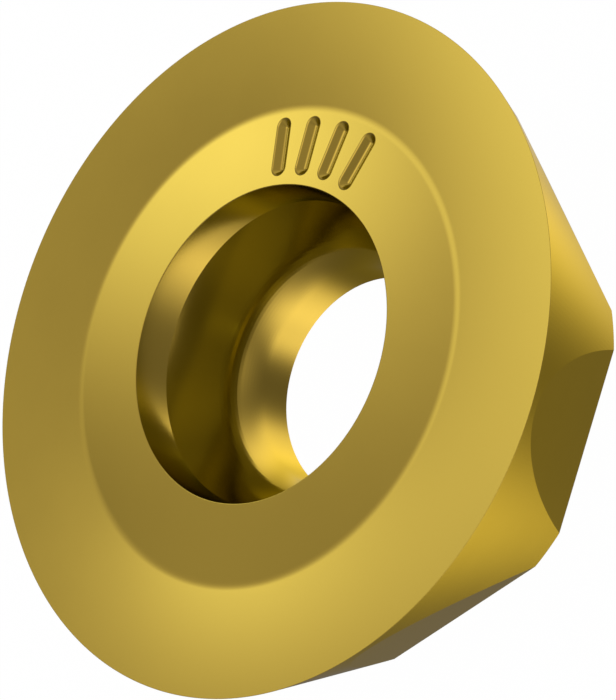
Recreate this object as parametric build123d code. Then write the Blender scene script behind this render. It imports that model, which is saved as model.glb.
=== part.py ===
from build123d import *
import math
import os

# Round milling insert with a dished rake face, a tapered flank with index facets
# and a countersunk screw hole.
# Millimetres. The hole's axis is Z, the ground seating face lies at Z 0 and the
# cutting edge is the rounded outer rim of the upper face. One index facet faces +X.

# Overall sizes, over the rounded cutting edge
edge_diameter = 16.0
thickness = 4.76

# Upper face
rake_angle = 6.6
boss_drop = 0.285
groove_radius = 1.8
edge_hone = 0.03

# Flank and index facets
clearance_angle = 16.0
facet_count = 8
facet_lean = 4.0
edge_band = 0.29

# Screw hole
throat_diameter = 5.54
throat_length = 0.9
lead_radius = 2.9
seat_foot_height = 1.87
mouth_diameter = 7.40
mouth_depth = 0.985
mouth_draft = 3.7

# Slopes, heights and radii that follow from the sizes above
flank_slope = math.tan(math.radians(clearance_angle))
facet_slope = math.tan(math.radians(clearance_angle + facet_lean))
rake_slope = math.tan(math.radians(rake_angle))
hone_centre_radius = edge_diameter / 2 - edge_hone
hone_centre_height = thickness - edge_hone
boss_height = thickness - boss_drop
mouth_foot_height = boss_height - mouth_depth
mouth_radius = mouth_diameter / 2
mouth_foot_radius = mouth_radius - mouth_depth * math.tan(math.radians(mouth_draft))
throat_radius = throat_diameter / 2
lead_turn = math.degrees(math.asin((seat_foot_height - throat_length) / lead_radius))


def flank_radius(height):
    """Radius of the flank's cone, which is tangent to the rounded cutting edge."""
    hone_reach = edge_hone / math.cos(math.radians(clearance_angle))
    return hone_centre_radius + hone_reach + (height - hone_centre_height) * flank_slope


def rake_radius(height):
    """Radius of the dished rake face, which is tangent to the rounded cutting edge."""
    hone_rise = edge_hone / math.cos(math.radians(rake_angle))
    return hone_centre_radius + (height - hone_centre_height - hone_rise) / rake_slope


def half_section():
    """The turned section to the right of the axis, in the XZ plane."""
    with BuildSketch(Plane.XZ) as section:
        with BuildLine():
            seating_line = Line((throat_radius, 0), (flank_radius(0), 0))
            hone_arc = CenterArc(
                center=(hone_centre_radius, hone_centre_height),
                radius=edge_hone,
                start_angle=-clearance_angle,
                arc_size=clearance_angle + 90 + rake_angle,
            )
            Line(seating_line @ 1, hone_arc @ 0)
            rake_line = Line(hone_arc @ 1, (rake_radius(boss_height), boss_height))
            boss_line = Line(rake_line @ 1, (mouth_radius, boss_height))
            mouth_line = Line(boss_line @ 1, (mouth_foot_radius, mouth_foot_height))
            Line(seating_line @ 0, (throat_radius, throat_length))
            lead_arc = CenterArc(
                center=(throat_radius + lead_radius, throat_length),
                radius=lead_radius,
                start_angle=180,
                arc_size=-lead_turn,
            )
            Line(mouth_line @ 1, lead_arc @ 1)
        make_face()
        groove_foot = section.vertices().sort_by_distance(rake_line @ 1)[0]
        fillet(groove_foot, groove_radius)
    return section.sketch


def facet_tool():
    """The wedge outside one index facet's plane, which leans out more than the flank.

    The plane touches the flank at the lower edge of the band that is left whole
    under the cutting edge, and cuts deeper towards the seating face.
    """
    touch_height = thickness - edge_band
    foot_distance = flank_radius(touch_height) - touch_height * facet_slope
    head_distance = foot_distance + thickness * facet_slope
    with BuildSketch(Plane.XZ) as wedge:
        with BuildLine():
            Polyline(
                (foot_distance, 0),
                (edge_diameter, 0),
                (edge_diameter, thickness),
                (head_distance, thickness),
                close=True,
            )
        make_face()
    return extrude(wedge.sketch, amount=edge_diameter / 2, both=True)


def insert_body():
    """The pressed and sintered body: the turned form with its index facets cut."""
    body = revolve(half_section(), Axis.Z)
    tool = facet_tool()
    for place in PolarLocations(0, facet_count):
        body = body - place * tool
    body.label = "insert_body"
    return body


os.makedirs("parts", exist_ok=True)
export_step(insert_body(), "parts/insert_body.step")
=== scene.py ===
"""Looks of a round coated carbide insert: its body, its coating, the studio and the camera.

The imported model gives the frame: the screw hole's axis is Z, the seating face lies at
Z 0, and the middle of one index facet faces +X. Sizes are written in millimetres and
turned into metres when they are used, and angles are written in degrees.
"""

import logging
import math
from dataclasses import dataclass, field
from enum import Enum
from typing import Any

import bpy
from mathutils import Matrix, Vector


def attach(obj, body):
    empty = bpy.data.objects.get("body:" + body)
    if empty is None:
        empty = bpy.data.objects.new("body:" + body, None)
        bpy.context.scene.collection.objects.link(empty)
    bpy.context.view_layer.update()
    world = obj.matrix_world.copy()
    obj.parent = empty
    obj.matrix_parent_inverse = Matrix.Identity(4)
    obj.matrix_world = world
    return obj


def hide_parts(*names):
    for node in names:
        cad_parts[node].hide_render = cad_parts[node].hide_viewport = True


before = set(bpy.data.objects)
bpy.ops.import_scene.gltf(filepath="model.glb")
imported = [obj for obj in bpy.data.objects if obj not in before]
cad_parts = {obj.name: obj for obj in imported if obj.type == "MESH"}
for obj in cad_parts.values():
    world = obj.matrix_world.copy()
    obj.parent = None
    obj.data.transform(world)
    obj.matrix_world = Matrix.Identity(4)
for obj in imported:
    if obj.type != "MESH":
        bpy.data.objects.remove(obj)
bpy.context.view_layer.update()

MM = 0.001
CAD_NODE = "insert_body"
CAD_BODY = "root"
FLAG_SET = 0.99  # A stored flag counts as set above this.
GRAIN_DETAIL = 3.0
PATCH_DETAIL = 4.0
LINE_DETAIL = 2.0
ONE_MIRROR = 2.0  # The world's Ray Depth of light that the camera sees in one mirror.
CLIP_SHARE = 0.01  # The nearest thing that the camera shows, as a share of its distance.
WHITE = (1.0, 1.0, 1.0, 1.0)

log = logging.getLogger("insert")

Feed = float | int | bool | str | tuple | Vector | bpy.types.NodeSocket | bpy.types.Material


class Unit(Enum):
    """Kinds of named socket that a node tree of this file can have."""

    SHAPE = "NodeSocketGeometry"
    LENGTH = "NodeSocketFloat"
    COUNT = "NodeSocketInt"
    FINISH = "NodeSocketMaterial"
    DIRECTION = "NodeSocketVector"
    SECTION = "NodeSocketObject"


class Bench:
    """Places the nodes of one node tree and joins them."""

    def __init__(self, tree: bpy.types.NodeTree) -> None:
        """Starts on a tree.

        Args:
            tree: The node tree that the nodes go into.
        """
        self.tree = tree

    def add(
        self, kind: str, feeds: dict[int | str, Feed] | None = None, **settings: Any
    ) -> bpy.types.Node:
        """Adds one node.

        Args:
            kind: Blender's name of the node type.
            feeds: What goes into each input, by its index or name: a socket or a value.
            **settings: Properties of the node itself.

        Returns:
            The new node.
        """
        node = self.tree.nodes.new(kind)
        for name, value in settings.items():
            setattr(node, name, value)
        for key, value in (feeds or {}).items():
            if isinstance(value, bpy.types.NodeSocket):
                self.tree.links.new(value, node.inputs[key])
            else:
                node.inputs[key].default_value = value
        return node

    def math(self, operation: str, *terms: Feed) -> bpy.types.NodeSocket:
        """Adds a math node.

        Args:
            operation: The operation's name.
            *terms: Its one, two or three terms.

        Returns:
            The result's socket.
        """
        return self.add("ShaderNodeMath", dict(enumerate(terms)), operation=operation).outputs[0]

    def vector_math(self, operation: str, *terms: Feed) -> bpy.types.Node:
        """Adds a vector math node.

        Args:
            operation: The operation's name.
            *terms: Its terms.

        Returns:
            The node, whose first output is a vector and second a number.
        """
        return self.add("ShaderNodeVectorMath", dict(enumerate(terms)), operation=operation)

    def smooth_step(self, value: Feed, low: Feed, high: Feed) -> bpy.types.NodeSocket:
        """Adds a soft step from 0 at low to 1 at high.

        Args:
            value: What is compared.
            low: Where the step starts.
            high: Where it ends.

        Returns:
            The step's socket.
        """
        feeds = {0: value, 1: low, 2: high}
        return self.add("ShaderNodeMapRange", feeds, interpolation_type="SMOOTHSTEP").outputs[0]


class ShapeTree(Bench):
    """A geometry node tree with named inputs that makes one mesh."""

    def __init__(self, name: str, inputs: dict[str, Unit]) -> None:
        """Makes the tree, its named inputs and its output.

        Args:
            name: The tree's name.
            inputs: The unit of each named input after the incoming shape.
        """
        super().__init__(bpy.data.node_groups.new(name, "GeometryNodeTree"))
        self.identifiers: dict[str, str] = {}
        for label, unit in {"Shape": Unit.SHAPE, **inputs}.items():
            socket = self.tree.interface.new_socket(name=label, in_out="INPUT", socket_type=unit.value)
            self.identifiers[label] = socket.identifier
        self.tree.interface.new_socket(name="Shape", in_out="OUTPUT", socket_type=Unit.SHAPE.value)
        self.given = self.add("NodeGroupInput").outputs

    def sample_ring(self, shape: Feed, value: Feed, row: Feed, data_type: str) -> bpy.types.NodeSocket:
        """Reads a value of one point of the incoming section.

        Args:
            shape: The section's geometry.
            value: The field that is read.
            row: Which point.
            data_type: The value's type.

        Returns:
            The value's socket.
        """
        feeds = {0: shape, 1: value, 2: row}
        return self.add("GeometryNodeSampleIndex", feeds, data_type=data_type, clamp=True).outputs[0]

    def close(self, shape: Feed) -> None:
        """Ends the tree with this shape."""
        self.add("NodeGroupOutput", {0: shape})

    def whole_number(self, operation: str, *terms: Feed) -> bpy.types.NodeSocket:
        """Adds an integer math node and returns its result."""
        feeds = dict(enumerate(terms))
        return self.add("FunctionNodeIntegerMath", feeds, operation=operation).outputs[0]

    def named(self, name: str) -> bpy.types.NodeSocket:
        """Reads a named number of the mesh and returns its socket."""
        return self.add("GeometryNodeInputNamedAttribute", {0: name}, data_type="FLOAT").outputs[0]

    def keep(self, shape: Feed, name: str, value: Feed) -> bpy.types.NodeSocket:
        """Stores a number on each point.

        Args:
            shape: The mesh.
            name: The name that the number is stored under.
            value: The number.

        Returns:
            The mesh's socket.
        """
        feeds = {0: shape, 2: name, 3: value}
        kept = self.add("GeometryNodeStoreNamedAttribute", feeds, data_type="FLOAT", domain="POINT")
        return kept.outputs[0]


@dataclass(frozen=True)
class Ring:
    """One point of a section, which the trees below sweep into a ring.

    Share says how much of a facet's cut the ring takes. Flank and crease are flags: the
    facets' edges stay crisp where flank is set, and so does the ring itself where crease
    is set.
    """

    radius: float
    height: float
    share: float = 0.0
    flank: float = 0.0
    crease: float = 0.0


def arc(centre: tuple[float, float], radius: float, start: float, end: float, steps: int) -> list[Ring]:
    """Points of a section's arc, both ends included.

    Args:
        centre: Radius and height of the arc's centre, in millimetres.
        radius: The arc's radius.
        start: Angle of its first point from the outward direction, in degrees.
        end: Angle of its last point.
        steps: How many chords it has.

    Returns:
        The points in order.
    """
    rings = []
    for step in range(steps + 1):
        turn = math.radians(start + (end - start) * step / steps)
        rings.append(Ring(centre[0] + radius * math.cos(turn), centre[1] + radius * math.sin(turn)))
    return rings


def run(start: Ring, end: Ring, hold: float) -> list[Ring]:
    """Points of a straight run between two arcs, without its ends.

    The two points stand close to the ends, so that the rounding beside the run
    doesn't bend its shading.

    Args:
        start: Where the run begins.
        end: Where it ends.
        hold: How far from the ends the points stand, in millimetres.

    Returns:
        The two points.
    """
    length = math.hypot(end.radius - start.radius, end.height - start.height)
    rings = []
    for part in (hold / length, 1 - hold / length):
        rings.append(
            Ring(
                start.radius + (end.radius - start.radius) * part,
                start.height + (end.height - start.height) * part,
                start.share + (end.share - start.share) * part,
            )
        )
    return rings


def section_object(name: str, rings: list[Ring]) -> bpy.types.Object:
    """Makes an object whose mesh is one section, a line of points in the XZ plane.

    Args:
        name: The object's name.
        rings: The section's points.

    Returns:
        The object, linked to the scene.
    """
    mesh = bpy.data.meshes.new(name)
    chords = [(index, index + 1) for index in range(len(rings) - 1)]
    mesh.from_pydata([(ring.radius, 0.0, ring.height) for ring in rings], chords, [])
    for label in ("share", "flank", "crease"):
        values = mesh.attributes.new(label, "FLOAT", "POINT")
        values.data.foreach_set("value", [getattr(ring, label) for ring in rings])
    section = bpy.data.objects.new(name, mesh)
    bpy.context.scene.collection.objects.link(section)
    return section


@dataclass
class StrokeMarks:
    """Plain radial strokes pressed into the boss, rounded at their ends and their foot."""

    count: int = 4
    ring_radius: float = 4.64
    middle_angle: float = 88.0
    pitch: float = 10.0
    length: float = 1.0
    width: float = 0.44
    foot_radius: float = 0.095
    lip_radius: float = 0.07
    wall_angle: float = 46.0
    lip_end_angle: float = 6.0
    reach: float = 0.2
    end_points: int = 14
    arc_steps: int = 5
    merge_distance: float = 0.0005

    def rings(self) -> list[Ring]:
        """The cutter's section from its foot to above the boss, measured from its spine.

        Returns:
            The section's points.
        """
        wall = math.radians(self.wall_angle)
        lip_centre = (self.width / 2, -self.lip_radius)
        lip_turns = (90 + self.wall_angle, 90 + self.lip_end_angle)
        lip = arc(lip_centre, self.lip_radius, *lip_turns, self.arc_steps)
        drop = (lip[0].radius - self.foot_radius * math.sin(wall)) * math.tan(wall)
        foot_height = lip[0].height - drop + self.foot_radius * math.cos(wall)
        foot = arc((0.0, foot_height), self.foot_radius, -90, self.wall_angle - 90, self.arc_steps)
        out = lip[-1].radius + self.lip_radius
        slope = math.tan(math.radians(self.lip_end_angle))
        edge = Ring(out, lip[-1].height + (out - lip[-1].radius) * slope)
        return [*foot, *lip, edge, Ring(out, self.reach), Ring(0.0, self.reach)]

    def inputs(self, stroke_section: bpy.types.Object) -> dict[str, Any]:
        """What the strokes feed into the body's tree.

        Args:
            stroke_section: The object that holds the cutter's section.

        Returns:
            The values by the names of the tree's inputs.
        """
        return {
            "Stroke Section": stroke_section,
            "Strokes": self.count,
            "Stroke End Points": self.end_points,
            "Stroke Length": self.length,
            "Stroke Pitch": math.radians(self.pitch),
            "Stroke Bearing": math.radians(self.middle_angle),
            "Stroke Ring Radius": self.ring_radius,
        }

    def cutter(self, tree: ShapeTree, shape: Feed) -> bpy.types.NodeSocket:
        """Adds the nodes that lead the section round one stroke, which lies along X.

        Args:
            tree: The tree that the nodes go into.
            shape: The cutter's section.

        Returns:
            The closed cutter's socket.
        """
        rows = tree.add("GeometryNodeAttributeDomainSize", {0: shape}, component="MESH").outputs[0]
        points = tree.given["Stroke End Points"]
        # Both ends of a stroke have as many columns, and one more closes the loop.
        columns = tree.whole_number("MULTIPLY_ADD", points, 2, 1)
        grid = tree.add("GeometryNodeMeshGrid", {2: columns, 3: rows}).outputs[0]
        index = tree.add("GeometryNodeInputIndex").outputs[0]
        row = tree.whole_number("MODULO", index, rows)
        column = tree.whole_number("DIVIDE_FLOOR", index, rows)
        half = tree.whole_number("DIVIDE_FLOOR", column, points)
        step = tree.whole_number("MODULO", column, points)
        last = tree.whole_number("SUBTRACT", points, 1)
        turn = tree.math("MULTIPLY", tree.math("DIVIDE", step, last), math.pi)
        turn = tree.math("ADD", tree.math("MULTIPLY_ADD", half, math.pi, turn), -math.pi / 2)
        side = tree.math("COSINE", tree.math("MULTIPLY", half, math.pi))
        spot = tree.add("GeometryNodeInputPosition").outputs[0]
        point = tree.sample_ring(shape, spot, row, "FLOAT_VECTOR")
        radius, _, height = tree.add("ShaderNodeSeparateXYZ", {0: point}).outputs
        half_length = tree.math("MULTIPLY", tree.given["Stroke Length"], 0.5)
        straight = tree.math("MULTIPLY", side, half_length)
        along = tree.math("MULTIPLY_ADD", radius, tree.math("COSINE", turn), straight)
        across = tree.math("MULTIPLY", radius, tree.math("SINE", turn))
        place = tree.add("ShaderNodeCombineXYZ", {0: along, 1: across, 2: height}).outputs[0]
        cutter = tree.add("GeometryNodeSetPosition", {0: grid, 2: place}).outputs[0]
        feeds = {0: cutter, 2: self.merge_distance}
        return tree.add("GeometryNodeMergeByDistance", feeds).outputs[0]

    def row_of_cutters(self, tree: ShapeTree, shape: Feed) -> bpy.types.NodeSocket:
        """Adds the nodes that set a cutter at each stroke's place, pointing at the axis.

        Args:
            tree: The tree that the nodes go into.
            shape: The cutter's section.

        Returns:
            The cutters' socket.
        """
        cutter = self.cutter(tree, shape)
        count, pitch = tree.given["Strokes"], tree.given["Stroke Pitch"]
        middle = tree.math("DIVIDE", tree.math("SUBTRACT", count, 1), 2)
        order = tree.math("SUBTRACT", tree.add("GeometryNodeInputIndex").outputs[0], middle)
        bearing = tree.math("MULTIPLY_ADD", order, pitch, tree.given["Stroke Bearing"])
        ring = tree.given["Stroke Ring Radius"]
        east = tree.math("MULTIPLY", ring, tree.math("COSINE", bearing))
        north = tree.math("MULTIPLY", ring, tree.math("SINE", bearing))
        feeds = {0: east, 1: north, 2: tree.given["Boss Height"]}
        place = tree.add("ShaderNodeCombineXYZ", feeds).outputs[0]
        spots = tree.add("GeometryNodePoints", {0: count, 1: place}).outputs[0]
        turned = tree.add("ShaderNodeCombineXYZ", {2: bearing}).outputs[0]
        feeds = {0: spots, 2: cutter, 5: turned}
        strokes = tree.add("GeometryNodeInstanceOnPoints", feeds).outputs[0]
        return tree.add("GeometryNodeRealizeInstances", {0: strokes}).outputs[0]


@dataclass
class InsertBody:
    """The pressed, sintered and ground body, as one turned section with index facets."""

    edge_diameter: float = 16.0
    thickness: float = 4.76
    edge_hone: float = 0.006
    rake_angle: float = 6.6
    boss_drop: float = 0.285
    groove_radius: float = 1.8
    clearance_angle: float = 16.0
    facet_lean: float = 4.0
    facet_count: int = 8
    edge_band: float = 0.29
    foot_round: float = 0.03
    throat_diameter: float = 5.54
    throat_length: float = 0.9
    lead_radius: float = 3.25
    seat_foot_height: float = 2.22
    mouth_diameter: float = 7.40
    mouth_depth: float = 0.985
    mouth_draft: float = 3.7
    mouth_round: float = 0.02
    hold: float = 0.03
    flank_rings: int = 26
    land_columns: int = 6
    round_steps: int = 6
    groove_steps: int = 10
    long_steps: int = 14
    crease_angle: float = 2.5
    merge_distance: float = 0.0002
    marks: StrokeMarks = field(default_factory=StrokeMarks)

    @property
    def flank_slope(self) -> float:
        """How far the flank's radius grows for each millimetre of height."""
        return math.tan(math.radians(self.clearance_angle))

    @property
    def facet_slope(self) -> float:
        """How far a facet's distance from the axis grows for each millimetre of height."""
        return math.tan(math.radians(self.clearance_angle + self.facet_lean))

    @property
    def boss_height(self) -> float:
        """Height of the level boss above the seating face."""
        return self.thickness - self.boss_drop

    @property
    def touch_height(self) -> float:
        """Height at which a facet's plane touches the flank."""
        return self.thickness - self.edge_band

    @property
    def lead_lean(self) -> float:
        """How far the hole's wall leans from the axis where the screw seat begins, in degrees."""
        rise = self.seat_foot_height - self.throat_length
        return math.degrees(math.asin(rise / self.lead_radius))

    def flank_radius(self, height: float) -> float:
        """Radius of the flank's cone.

        Args:
            height: The height above the seating face.

        Returns:
            The radius there.
        """
        lean = math.radians(self.clearance_angle)
        centre_radius = self.edge_diameter / 2 - self.edge_hone
        rise = height - (self.thickness - self.edge_hone)
        return centre_radius + self.edge_hone / math.cos(lean) + rise * self.flank_slope

    def foot_arc(self) -> list[Ring]:
        """The rounding between the seating face and the flank.

        Returns:
            The rings from the seating face upwards.
        """
        lean = math.radians(self.clearance_angle)
        centre_radius = self.flank_radius(self.foot_round) - self.foot_round / math.cos(lean)
        centre = (centre_radius, self.foot_round)
        rings = arc(centre, self.foot_round, -90, -self.clearance_angle, self.round_steps)
        return [Ring(ring.radius, ring.height, share=1.0) for ring in rings]

    def flank(self, foot: Ring) -> list[Ring]:
        """The flank from its foot to the height where the facets end.

        The rings crowd towards that height as the facets' arches do, so that each
        arch crosses one ring at each of its columns.

        Args:
            foot: The upper end of the rounding at the seating face.

        Returns:
            The rings from the foot upwards.
        """
        span = self.touch_height - foot.height - self.hold
        heights = [foot.height]
        for step in range(self.flank_rings, -1, -1):
            heights.append(self.touch_height - span * (step / self.flank_rings) ** 2)
        return [Ring(self.flank_radius(height), height, share=1.0, flank=1.0) for height in heights]

    def edge_arc(self) -> list[Ring]:
        """The rounded cutting edge, tangent to the flank and the rake face.

        Returns:
            The rings from the flank to the rake face.
        """
        centre = (self.edge_diameter / 2 - self.edge_hone, self.thickness - self.edge_hone)
        turns = (-self.clearance_angle, 90 + self.rake_angle)
        return arc(centre, self.edge_hone, *turns, self.long_steps)

    def groove_arc(self, edge: Ring) -> list[Ring]:
        """The groove in which the dished rake face meets the boss.

        Args:
            edge: The inner end of the rounded cutting edge.

        Returns:
            The rings from the rake face to the boss.
        """
        dish = math.radians(self.rake_angle)
        corner = edge.radius - (edge.height - self.boss_height) / math.tan(dish)
        centre_radius = corner - self.groove_radius * math.tan(dish / 2)
        centre = (centre_radius, self.boss_height + self.groove_radius)
        return arc(centre, self.groove_radius, self.rake_angle - 90, -90, self.groove_steps)

    def mouth_arc(self) -> list[Ring]:
        """The rounding between the boss and the wall of the screw hole's mouth.

        Returns:
            The rings from the boss down into the mouth.
        """
        draft = math.radians(self.mouth_draft)
        reach = self.mouth_round / math.cos(draft) - self.mouth_round * math.tan(draft)
        centre = (self.mouth_diameter / 2 + reach, self.boss_height - self.mouth_round)
        return arc(centre, self.mouth_round, 90, 180 - self.mouth_draft, self.round_steps)

    def lead_arc(self) -> list[Ring]:
        """The arc that leads from the screw seat into the throat."""
        centre = (self.throat_diameter / 2 + self.lead_radius, self.throat_length)
        return arc(centre, self.lead_radius, 180 - self.lead_lean, 180, self.long_steps)

    def seat_arc(self, top: Ring, foot: Ring) -> list[Ring]:
        """The screw seat, which goes on from the lead's arc without a corner.

        Args:
            top: Its upper end, at the foot of the mouth.
            foot: Its lower end, at the lead's arc.

        Returns:
            The rings between the two ends, from above.
        """
        out, rise = top.radius - foot.radius, top.height - foot.height
        chord_lean = math.degrees(math.atan2(out, rise))
        radius = math.hypot(out, rise) / 2 / math.sin(math.radians(chord_lean - self.lead_lean))
        lean = math.radians(self.lead_lean)
        centre = (foot.radius + radius * math.cos(lean), foot.height - radius * math.sin(lean))
        top_lean = 2 * chord_lean - self.lead_lean
        return arc(centre, radius, 180 - top_lean, 180 - self.lead_lean, self.long_steps)[1:-1]

    def throat_arc(self) -> list[Ring]:
        """The rounding between the throat and the seating face."""
        centre = (self.throat_diameter / 2 + self.foot_round, self.foot_round)
        return arc(centre, self.foot_round, 180, 270, self.round_steps)

    def rings(self) -> list[Ring]:
        """The whole section, which starts and ends at the throat's foot.

        Returns:
            The rings along the seating face, up the flank, over the top and down the hole.
        """
        draft = math.radians(self.mouth_draft)
        mouth_foot_radius = self.mouth_diameter / 2 - self.mouth_depth * math.tan(draft)
        mouth_foot = Ring(mouth_foot_radius, self.boss_height - self.mouth_depth, crease=1.0)
        foot = self.foot_arc()
        flank = self.flank(foot[-1])
        edge = self.edge_arc()
        groove = self.groove_arc(edge[-1])
        mouth = self.mouth_arc()
        lead = self.lead_arc()
        throat = self.throat_arc()
        section = [throat[-1], *run(throat[-1], foot[0], self.hold)]
        section += [*foot[:-1], *flank, *run(flank[-1], edge[0], self.hold), *edge]
        section += [*run(edge[-1], groove[0], self.hold), *groove]
        section += [*run(groove[-1], mouth[0], self.hold), *mouth]
        section += [*run(mouth[-1], mouth_foot, self.hold), mouth_foot]
        section += [*self.seat_arc(mouth_foot, lead[0]), *lead]
        section += [*run(lead[-1], throat[0], self.hold), *throat]
        return section

    def column_bearing(self, tree: ShapeTree, column: Feed) -> bpy.types.NodeSocket:
        """Adds the nodes that give each column of half a facet's pitch its angle.

        A column of the facet stands where the arch crosses one ring of the flank, and
        the columns of the land beside it share the rest evenly.

        Args:
            tree: The tree that the nodes go into.
            column: The column's number, from the middle of the facet.

        Returns:
            The angle's socket.
        """
        given = tree.given
        top_row = tree.whole_number("ADD", given["First Flank Row"], given["Facet Columns"])
        crossing = tree.whole_number("SUBTRACT", top_row, column)
        crossing = tree.whole_number("MAXIMUM", crossing, given["First Flank Row"])
        spot = tree.add("GeometryNodeInputPosition").outputs[0]
        point = tree.sample_ring(given["Shape"], spot, crossing, "FLOAT_VECTOR")
        height = tree.add("ShaderNodeSeparateXYZ", {0: point}).outputs[2]
        arch = tree.math("ARCCOSINE", tree.math("MINIMUM", self.facet_ratio(tree, height), 1.0))
        extra = tree.whole_number("SUBTRACT", column, given["Facet Columns"])
        extra = tree.whole_number("MAXIMUM", extra, 0)
        part = tree.math("DIVIDE", extra, given["Land Columns"])
        half_pitch = tree.math("DIVIDE", math.pi, given["Facets"])
        rest = tree.math("SUBTRACT", half_pitch, arch)
        return tree.math("MULTIPLY_ADD", rest, part, arch)

    def facet_ratio(self, tree: ShapeTree, height: Feed) -> bpy.types.NodeSocket:
        """Adds the nodes for a facet's distance from the axis over the cone's radius.

        Args:
            tree: The tree that the nodes go into.
            height: The height above the seating face.

        Returns:
            The ratio's socket.
        """
        given = tree.given
        below = tree.math("SUBTRACT", given["Touch Height"], height)
        facet_fall = tree.math("MULTIPLY", below, given["Facet Slope"])
        flank_fall = tree.math("MULTIPLY", below, given["Flank Slope"])
        plane = tree.math("SUBTRACT", given["Touch Radius"], facet_fall)
        cone = tree.math("SUBTRACT", given["Touch Radius"], flank_fall)
        return tree.math("DIVIDE", plane, cone)

    def half_pitch(self, tree: ShapeTree) -> bpy.types.NodeSocket:
        """Adds the nodes that sweep the section over half a facet's pitch.

        Args:
            tree: The tree that the nodes go into.

        Returns:
            The swept mesh's socket.
        """
        given = tree.given
        section = given["Shape"]
        rows = tree.add("GeometryNodeAttributeDomainSize", {0: section}, component="MESH").outputs[0]
        columns = tree.whole_number("ADD", given["Facet Columns"], given["Land Columns"])
        columns = tree.whole_number("ADD", columns, 1)
        grid = tree.add("GeometryNodeMeshGrid", {2: columns, 3: rows}).outputs[0]
        index = tree.add("GeometryNodeInputIndex").outputs[0]
        row = tree.whole_number("MODULO", index, rows)
        bearing = self.column_bearing(tree, tree.whole_number("DIVIDE_FLOOR", index, rows))
        spot = tree.add("GeometryNodeInputPosition").outputs[0]
        point = tree.sample_ring(section, spot, row, "FLOAT_VECTOR")
        radius, _, height = tree.add("ShaderNodeSeparateXYZ", {0: point}).outputs
        ratio = tree.math("DIVIDE", self.facet_ratio(tree, height), tree.math("COSINE", bearing))
        bite = tree.math("MAXIMUM", tree.math("SUBTRACT", 1.0, ratio), 0.0)
        share = tree.sample_ring(section, tree.named("share"), row, "FLOAT")
        bite = tree.math("MULTIPLY", tree.math("MULTIPLY", bite, share), radius)
        reach = tree.math("SUBTRACT", radius, bite)
        east = tree.math("MULTIPLY", reach, tree.math("COSINE", bearing))
        north = tree.math("MULTIPLY", reach, tree.math("SINE", bearing))
        place = tree.add("ShaderNodeCombineXYZ", {0: east, 1: north, 2: height}).outputs[0]
        swept = tree.add("GeometryNodeSetPosition", {0: grid, 2: place}).outputs[0]
        for label in ("flank", "crease"):
            swept = tree.keep(swept, label, tree.sample_ring(section, tree.named(label), row, "FLOAT"))
        triangles = tree.add("GeometryNodeTriangulate", {0: swept}, quad_method="FIXED_ALTERNATE")
        return triangles.outputs[0]

    def all_round(self, tree: ShapeTree, swept: Feed) -> bpy.types.NodeSocket:
        """Adds the nodes that repeat the half pitch, mirrored and turned, into the body.

        Args:
            tree: The tree that the nodes go into.
            swept: The mesh of half a facet's pitch.

        Returns:
            The closed body's socket.
        """
        given = tree.given
        mirrored = tree.add("GeometryNodeTransform", {0: swept, 3: (1.0, -1.0, 1.0)}).outputs[0]
        mirrored = tree.add("GeometryNodeFlipFaces", {0: mirrored}).outputs[0]
        pitch = tree.add("GeometryNodeJoinGeometry")
        tree.tree.links.new(swept, pitch.inputs[0])
        tree.tree.links.new(mirrored, pitch.inputs[0])
        index = tree.add("GeometryNodeInputIndex").outputs[0]
        turn = tree.math("MULTIPLY", index, tree.math("DIVIDE", math.tau, given["Facets"]))
        turned = tree.add("ShaderNodeCombineXYZ", {2: turn}).outputs[0]
        places = tree.add("GeometryNodePoints", {0: given["Facets"]}).outputs[0]
        feeds = {0: places, 2: pitch.outputs[0], 5: turned}
        body = tree.add("GeometryNodeInstanceOnPoints", feeds).outputs[0]
        body = tree.add("GeometryNodeRealizeInstances", {0: body}).outputs[0]
        feeds = {0: body, 2: self.merge_distance}
        return tree.add("GeometryNodeMergeByDistance", feeds).outputs[0]

    def shade(self, tree: ShapeTree, body: Feed, cut: Feed) -> bpy.types.NodeSocket:
        """Adds the nodes that shade the body smooth and keep its real edges crisp.

        Args:
            tree: The tree that the nodes go into.
            body: The mesh.
            cut: Which edges the strokes cut.

        Returns:
            The shaded mesh's socket.
        """
        angle = tree.add("GeometryNodeInputMeshEdgeAngle").outputs[0]
        bent = tree.math("GREATER_THAN", angle, math.radians(self.crease_angle))
        on_flank = tree.math("GREATER_THAN", tree.named("flank"), FLAG_SET)
        on_crease = tree.math("GREATER_THAN", tree.named("crease"), FLAG_SET)
        crisp = tree.math("MAXIMUM", tree.math("MULTIPLY", bent, on_flank), on_crease)
        crisp = tree.math("MAXIMUM", crisp, cut)
        feeds = {0: body, 1: crisp, 2: False}
        return tree.add("GeometryNodeSetShadeSmooth", feeds, domain="EDGE").outputs[0]

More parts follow.
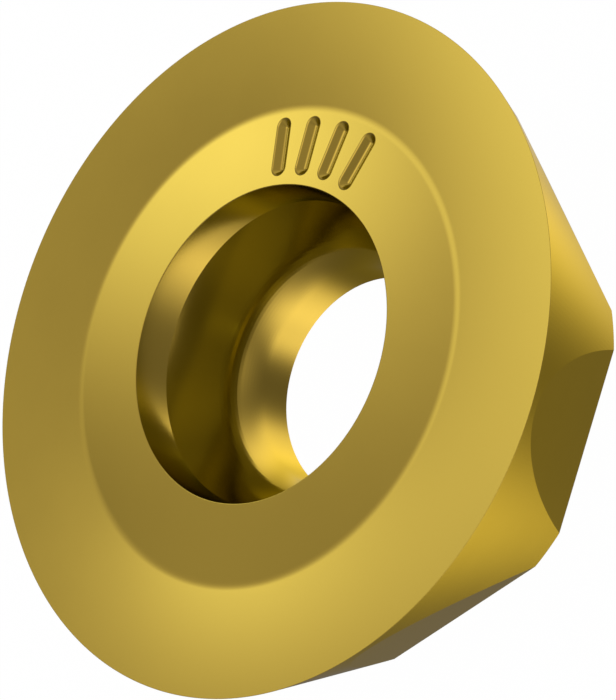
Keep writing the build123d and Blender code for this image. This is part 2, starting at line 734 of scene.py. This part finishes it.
    def tree(self) -> ShapeTree:
        """Builds the body's node tree.

        Returns:
            The tree, ready for a modifier on the section's object.
        """
        inputs = {
            "Facets": Unit.COUNT,
            "First Flank Row": Unit.COUNT,
            "Facet Columns": Unit.COUNT,
            "Land Columns": Unit.COUNT,
            "Touch Height": Unit.LENGTH,
            "Touch Radius": Unit.LENGTH,
            "Flank Slope": Unit.LENGTH,
            "Facet Slope": Unit.LENGTH,
            "Boss Height": Unit.LENGTH,
            "Stroke Section": Unit.SECTION,
            "Strokes": Unit.COUNT,
            "Stroke End Points": Unit.COUNT,
            "Stroke Length": Unit.LENGTH,
            "Stroke Pitch": Unit.LENGTH,
            "Stroke Bearing": Unit.LENGTH,
            "Stroke Ring Radius": Unit.LENGTH,
            "Finish": Unit.FINISH,
        }
        tree = ShapeTree("turned_insert", inputs)
        body = self.all_round(tree, self.half_pitch(tree))
        stroke = tree.add("GeometryNodeObjectInfo", {0: tree.given["Stroke Section"]})
        cutters = self.marks.row_of_cutters(tree, stroke.outputs["Geometry"])
        pressed = tree.add("GeometryNodeMeshBoolean", {0: body, 1: cutters}, solver="MANIFOLD")
        body = self.shade(tree, pressed.outputs[0], pressed.outputs[1])
        body = tree.add("GeometryNodeTransform", {0: body, 3: (MM, MM, MM)}).outputs[0]
        body = tree.add("GeometryNodeRealizeInstances", {0: body}).outputs[0]
        tree.close(tree.add("GeometryNodeSetMaterial", {0: body, 2: tree.given["Finish"]}).outputs[0])
        return tree

    def build(self, finish: bpy.types.Material) -> bpy.types.Object:
        """Builds the body's mesh.

        Args:
            finish: The coating's material.

        Returns:
            The piece as a plain mesh at the origin.
        """
        rings = self.rings()
        section = section_object("section", rings)
        stroke_section = section_object("stroke_section", self.marks.rings())
        tree = self.tree()
        first = next(index for index, ring in enumerate(rings) if ring.flank)
        values = {
            "Facets": self.facet_count,
            "First Flank Row": first,
            "Facet Columns": self.flank_rings + 1,
            "Land Columns": self.land_columns,
            "Touch Height": self.touch_height,
            "Touch Radius": self.flank_radius(self.touch_height),
            "Flank Slope": self.flank_slope,
            "Facet Slope": self.facet_slope,
            "Boss Height": self.boss_height,
            "Finish": finish,
            **self.marks.inputs(stroke_section),
        }
        modifier = section.modifiers.new("turned_insert", "NODES")
        modifier.node_group = tree.tree
        for label, value in values.items():
            modifier[tree.identifiers[label]] = value
        graph = bpy.context.evaluated_depsgraph_get()
        mesh = bpy.data.meshes.new_from_object(section.evaluated_get(graph))
        mesh.materials.clear()  # Set Material leaves an empty slot in front of the finish.
        mesh.materials.append(finish)
        section.modifiers.clear()
        bpy.data.objects.remove(section)
        bpy.data.objects.remove(stroke_section)
        piece = bpy.data.objects.new("coated_insert", mesh)
        bpy.context.scene.collection.objects.link(piece)
        return piece


class ShadeGroup(Bench):
    """A shader node group with named inputs and outputs."""

    def __init__(self, name: str, inputs: dict[str, Unit], outputs: dict[str, Unit]) -> None:
        """Makes the group and its sockets.

        Args:
            name: The group's name.
            inputs: The unit of each named input.
            outputs: The unit of each named output.
        """
        super().__init__(bpy.data.node_groups.new(name, "ShaderNodeTree"))
        for label, unit in inputs.items():
            self.tree.interface.new_socket(name=label, in_out="INPUT", socket_type=unit.value)
        for label, unit in outputs.items():
            self.tree.interface.new_socket(name=label, in_out="OUTPUT", socket_type=unit.value)
        self.given = self.add("NodeGroupInput").outputs

    def noise(self, place: Feed, size: Feed, detail: float) -> bpy.types.NodeSocket:
        """Adds a noise pattern.

        Args:
            place: Where the pattern is read.
            size: The size of its broadest features.
            detail: How many finer layers it has.

        Returns:
            The pattern's socket, from 0 to 1.
        """
        feeds = {"Vector": place, "Scale": self.math("DIVIDE", 1.0, size), "Detail": detail}
        return self.add("ShaderNodeTexNoise", feeds).outputs[0]

    def close(self, results: dict[str, Feed]) -> bpy.types.NodeTree:
        """Feeds the group's outputs and returns the finished group."""
        self.add("NodeGroupOutput", results)
        return self.tree


def pressed_grain() -> bpy.types.NodeTree:
    """Builds the group for the fine grain that pressing and sintering leave.

    Returns:
        The group, whose Height feeds a bump and whose Patches swing round 0.
    """
    inputs = {"Place": Unit.DIRECTION, "Grain Size": Unit.LENGTH, "Patch Size": Unit.LENGTH}
    group = ShadeGroup("pressed_grain", inputs, {"Height": Unit.LENGTH, "Patches": Unit.LENGTH})
    given = group.given
    height = group.noise(given["Place"], given["Grain Size"], GRAIN_DETAIL)
    patches = group.noise(given["Place"], given["Patch Size"], PATCH_DETAIL)
    return group.close({"Height": height, "Patches": group.math("SUBTRACT", patches, 0.5)})


def ground_lines() -> bpy.types.NodeTree:
    """Builds the group for the straight lines of a ground face at the lowest height.

    Returns:
        The group, whose Height feeds a bump and whose Face is 1 on the ground face.
    """
    inputs = {
        "Place": Unit.DIRECTION,
        "Spacing": Unit.LENGTH,
        "Stretch": Unit.LENGTH,
        "Top": Unit.LENGTH,
    }
    group = ShadeGroup("ground_lines", inputs, {"Height": Unit.LENGTH, "Face": Unit.LENGTH})
    given = group.given
    along, across, height = group.add("ShaderNodeSeparateXYZ", {0: given["Place"]}).outputs
    feeds = {0: group.math("DIVIDE", along, given["Stretch"]), 1: across}
    place = group.add("ShaderNodeCombineXYZ", feeds).outputs[0]
    lines = group.noise(place, given["Spacing"], LINE_DETAIL)
    half = group.math("MULTIPLY", given["Top"], 0.5)
    face = group.math("SUBTRACT", 1.0, group.smooth_step(height, half, given["Top"]))
    return group.close({"Height": group.math("MULTIPLY", lines, face), "Face": face})


@dataclass(frozen=True)
class Coating:
    """Gold-coloured hard nitride coating, satin, over pressed and ground carbide."""

    name: str = "gold_nitride_coating"
    colour: tuple[float, float, float] = (0.84, 0.58, 0.094)
    edge_tint: tuple[float, float, float] = (1.0, 0.88, 0.4)
    tone_swing: float = 0.05
    roughness: float = 0.13
    roughness_swing: float = 0.05
    ground_roughness: float = 0.1
    grain_size: float = 0.03
    grain_depth: float = 0.0001
    patch_size: float = 1.6
    line_spacing: float = 0.035
    line_stretch: float = 60.0
    line_depth: float = 0.0009
    ground_top: float = 0.03

    def grain(self, bench: Bench, place: Feed) -> bpy.types.Node:
        """Places the group of the fine grain.

        Args:
            bench: The material's bench.
            place: Where the pattern is read.

        Returns:
            The group's node.
        """
        feeds = {
            "Place": place,
            "Grain Size": self.grain_size * MM,
            "Patch Size": self.patch_size * MM,
        }
        return bench.add("ShaderNodeGroup", feeds, node_tree=pressed_grain())

    def lines(self, bench: Bench, place: Feed) -> bpy.types.Node:
        """Places the group of the ground seating face.

        Args:
            bench: The material's bench.
            place: Where the pattern is read.

        Returns:
            The group's node.
        """
        feeds = {
            "Place": place,
            "Spacing": self.line_spacing * MM,
            "Stretch": self.line_stretch,
            "Top": self.ground_top * MM,
        }
        return bench.add("ShaderNodeGroup", feeds, node_tree=ground_lines())

    def make(self) -> bpy.types.Material:
        """Builds the material.

        Returns:
            The coating's material.
        """
        material = bpy.data.materials.new(self.name)
        material.use_nodes = True
        material.node_tree.nodes.clear()
        bench = Bench(material.node_tree)
        place = bench.add("ShaderNodeTexCoord").outputs["Object"]
        grain = self.grain(bench, place).outputs
        lines = self.lines(bench, place).outputs
        level = bench.math("MULTIPLY_ADD", grain["Patches"], self.tone_swing, 1.0)
        tone = bench.vector_math("SCALE", self.colour)
        bench.tree.links.new(level, tone.inputs["Scale"])
        rough = bench.math("MULTIPLY_ADD", grain["Patches"], self.roughness_swing, self.roughness)
        rough = bench.math("MULTIPLY_ADD", lines["Face"], self.ground_roughness, rough)
        feeds = {"Height": grain["Height"], "Distance": self.grain_depth * MM}
        normal = bench.add("ShaderNodeBump", feeds).outputs[0]
        feeds = {"Height": lines["Height"], "Distance": self.line_depth * MM, "Normal": normal}
        normal = bench.add("ShaderNodeBump", feeds).outputs[0]
        feeds = {
            "Base Color": tone.outputs[0],
            "Metallic": 1.0,
            "Roughness": rough,
            "Specular Tint": (*self.edge_tint, 1.0),
            "Normal": normal,
        }
        surface = bench.add("ShaderNodeBsdfPrincipled", feeds)
        bench.add("ShaderNodeOutputMaterial", {0: surface.outputs[0]})
        return material


@dataclass(frozen=True)
class SoftLight:
    """One soft light of the studio, by its direction, its spread and its strength."""

    bearing: float
    elevation: float
    spread: float
    strength: float

    def aim(self) -> Vector:
        """Where the light is.

        Returns:
            The direction from the insert to the light's middle, one long.
        """
        turn, rise = math.radians(self.bearing), math.radians(self.elevation)
        level = math.cos(rise)
        return Vector((math.cos(turn) * level, math.sin(turn) * level, math.sin(rise)))


class Sky(Bench):
    """The world's node tree, which shines by direction."""

    def __init__(self, tree: bpy.types.NodeTree) -> None:
        """Starts on the world's tree and reads the direction.

        Args:
            tree: The world's node tree.
        """
        super().__init__(tree)
        generated = self.add("ShaderNodeTexCoord").outputs["Generated"]
        self.heading = self.vector_math("NORMALIZE", generated).outputs[0]

    def glow(self, lights: tuple[SoftLight, ...], start: Feed) -> bpy.types.NodeSocket:
        """Adds the nodes for the level of some lights in each direction.

        Args:
            lights: The lights that are added.
            start: The level that they are added to.

        Returns:
            The level's socket.
        """
        level = start
        for light in lights:
            facing = self.vector_math("DOT_PRODUCT", self.heading, tuple(light.aim())).outputs[1]
            away = self.math("SUBTRACT", facing, 1.0)
            fall = self.math("DIVIDE", away, math.radians(light.spread) ** 2)
            level = self.math("MULTIPLY_ADD", self.math("EXPONENT", fall), light.strength, level)
        return level

    def blend(self, part: Feed, first: Feed, second: Feed) -> bpy.types.NodeSocket:
        """Adds a mix of two colours and returns its socket."""
        feeds = {0: part, 4: first, 5: second}
        return self.add("ShaderNodeMix", feeds, data_type="VECTOR").outputs[1]


@dataclass
class Studio:
    """A pale floor under the insert and soft lights round it."""

    base_level: float = 0.09
    deep_share: float = 0.22
    dim_colour: tuple[float, float, float] = (1.03, 1.0, 1.0)
    bright_colour: tuple[float, float, float] = (0.93, 1.0, 1.02)
    deep_red: float = 0.75
    key: tuple[SoftLight, ...] = (
        SoftLight(168, 41, 4.6, 0.82),
        SoftLight(165, 44, 3.3, 0.44),
        SoftLight(173, 38, 4.5, 0.16),
        SoftLight(187, 46, 3, 0.18),
        SoftLight(169, 53, 8, 0.2),
    )
    overhead: SoftLight = SoftLight(-5, 80, 19, 0.78)
    low_left: tuple[SoftLight, ...] = (
        SoftLight(107, -43.5, 14.7, 0.7),
        SoftLight(110, -61, 7.5, 0.88),
        SoftLight(95, -19, 20, 0.47),
        SoftLight(78, -47, 8, 0.3),
        SoftLight(147, -47, 9, 0.48),
    )
    low_right: tuple[SoftLight, ...] = (
        SoftLight(320, -37, 15.3, 0.7),
        SoftLight(301, -60, 13, 0.64),
        SoftLight(303, -68, 10, 1.0),
        SoftLight(348, -62, 7, 1.1),
        SoftLight(346, -50, 7, 0.38),
        SoftLight(283, -47, 8, 0.19),
    )
    front: SoftLight = SoftLight(19, 3, 20, 0.4)
    fill: tuple[SoftLight, ...] = (
        SoftLight(90, 25, 28, 0.25),
        SoftLight(280, 15, 25, 0.25),
        SoftLight(205, -55, 18, 0.06),
    )
    floor_reach: float = 800.0
    floor_grey: float = 0.8
    camera_white: float = 0.97
    camera_glow: float = 1.02

    @property
    def lamps(self) -> tuple[SoftLight, ...]:
        """The lights besides the key and the overhead one."""
        return (*self.low_left, *self.low_right, self.front, *self.fill)

    def surroundings(self) -> None:
        """Builds the world: soft lights over a plain level, and white for the camera.

        Light that the metal has mirrored more than once comes weaker from the key and
        the lamps, and has less red at each further mirror. Without that the hole, where
        light goes from wall to wall, would be lighter and more orange than a real one.
        """
        world = bpy.data.worlds.new("soft_studio")
        bpy.context.scene.world = world
        world.use_nodes = True
        world.node_tree.nodes.clear()
        sky = Sky(world.node_tree)
        path = sky.add("ShaderNodeLightPath").outputs
        more = sky.math("MAXIMUM", sky.math("SUBTRACT", path["Ray Depth"], ONE_MIRROR), 0.0)
        key = sky.glow(self.key, 0.0)
        lamps = sky.glow(self.lamps, key)
        share = sky.math("MULTIPLY_ADD", sky.math("MINIMUM", more, 1.0), self.deep_share - 1, 1.0)
        level = sky.glow((self.overhead,), self.base_level)
        level = sky.math("MULTIPLY_ADD", lamps, share, level)
        tint = sky.blend(key, self.dim_colour, self.bright_colour)
        feeds = {0: sky.math("POWER", self.deep_red, more), 1: 1.0, 2: 1.0}
        deep_tint = sky.add("ShaderNodeCombineXYZ", feeds).outputs[0]
        tint = sky.vector_math("MULTIPLY", tint, deep_tint).outputs[0]
        lights = sky.add("ShaderNodeBackground", {0: tint, 1: level}).outputs[0]
        white = sky.add("ShaderNodeBackground", {0: WHITE, 1: 1.0}).outputs[0]
        feeds = {0: path["Is Camera Ray"], 1: lights, 2: white}
        seen = sky.add("ShaderNodeMixShader", feeds).outputs[0]
        sky.add("ShaderNodeOutputWorld", {0: seen})

    def floor_finish(self) -> bpy.types.Material:
        """Builds the pale floor's material.

        The camera sees it white with a soft shadow, and metal mirrors the soft lights
        through it, as on a plate of clear glass.

        Returns:
            The floor's material.
        """
        material = bpy.data.materials.new("pale_floor")
        material.use_nodes = True
        material.node_tree.nodes.clear()
        bench = Bench(material.node_tree)
        path = bench.add("ShaderNodeLightPath").outputs
        shown = bench.math("MULTIPLY", path["Is Camera Ray"], self.camera_white)
        grey = self.floor_grey
        matt = bench.add("ShaderNodeBsdfDiffuse", {0: (grey, grey, grey, 1.0)}).outputs[0]
        white = bench.add("ShaderNodeEmission", {0: WHITE, 1: self.camera_glow}).outputs[0]
        pale = bench.add("ShaderNodeMixShader", {0: shown, 1: matt, 2: white}).outputs[0]
        clear = bench.math("MAXIMUM", path["Is Glossy Ray"], path["Is Transmission Ray"])
        clear = bench.math("MAXIMUM", clear, path["Is Shadow Ray"])
        glass = bench.add("ShaderNodeBsdfTransparent").outputs[0]
        mixed = bench.add("ShaderNodeMixShader", {0: clear, 1: pale, 2: glass}).outputs[0]
        bench.add("ShaderNodeOutputMaterial", {0: mixed})
        return material

    def floor(self) -> None:
        """Lays the floor at the height of the seating face."""
        reach = self.floor_reach * MM
        sides = ((-1, -1), (1, -1), (1, 1), (-1, 1))
        corners = [(east * reach, north * reach, 0.0) for east, north in sides]
        mesh = bpy.data.meshes.new("floor")
        mesh.from_pydata(corners, [], [(0, 1, 2, 3)])
        mesh.materials.append(self.floor_finish())
        floor = bpy.data.objects.new("floor", mesh)
        bpy.context.scene.collection.objects.link(floor)

    def light(self) -> None:
        """Sets the plain view transform and builds the surroundings and the floor."""
        bpy.context.scene.view_settings.view_transform = "Standard"
        self.surroundings()
        self.floor()


@dataclass(frozen=True)
class PhotoCamera:
    """The camera of the reference view, placed from the middle of the cutting edge.

    Its line of sight leans from the screw hole's axis by tilt, towards the bearing. Its
    picture is rolled about that line, and the middle lies off it by the two offsets.
    """

    bearing: float = -5.770
    tilt: float = 42.615
    roll: float = 21.435
    distance: float = 43.169
    right_offset: float = 1.3781
    up_offset: float = -0.2614
    lens: float = 99.13
    sensor: float = 36.0

    def place(self, target: Vector) -> None:
        """Sets the scene's camera.

        Args:
            target: The middle of the cutting edge, in metres.
        """
        tilt, roll = math.radians(self.tilt), math.radians(self.roll)
        level = Vector((math.cos(tilt), 0.0, -math.sin(tilt)))
        across = Vector((0.0, 1.0, 0.0))
        turn = Matrix.Rotation(math.radians(self.bearing), 3, "Z")
        right = turn @ (level * math.cos(roll) + across * math.sin(roll))
        up = turn @ (across * math.cos(roll) - level * math.sin(roll))
        back = turn @ Vector((math.sin(tilt), 0.0, math.cos(tilt)))
        lens = bpy.data.cameras.new("camera")
        lens.lens = self.lens
        lens.sensor_width = self.sensor
        lens.clip_start = self.distance * MM * CLIP_SHARE
        camera = bpy.data.objects.new("camera", lens)
        bpy.context.scene.collection.objects.link(camera)
        axes = Matrix((right, up, back)).transposed().to_4x4()
        shift = (right * self.right_offset + up * self.up_offset + back * self.distance) * MM
        camera.matrix_world = Matrix.Translation(target + shift) @ axes
        bpy.context.scene.camera = camera


def main() -> None:
    """Builds the insert, its finish, the studio and the camera, and reports each piece."""
    logging.basicConfig(level=logging.INFO, format="%(message)s")
    body = InsertBody()
    piece = body.build(Coating().make())
    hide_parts(CAD_NODE)
    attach(piece, CAD_BODY)
    faces, finish = len(piece.data.polygons), piece.data.materials[0].name
    log.info("%s: %d faces, finish %s", piece.name, faces, finish)
    Studio().light()
    PhotoCamera().place(Vector((0.0, 0.0, body.thickness * MM)))


if __name__ == "__main__":
    main()
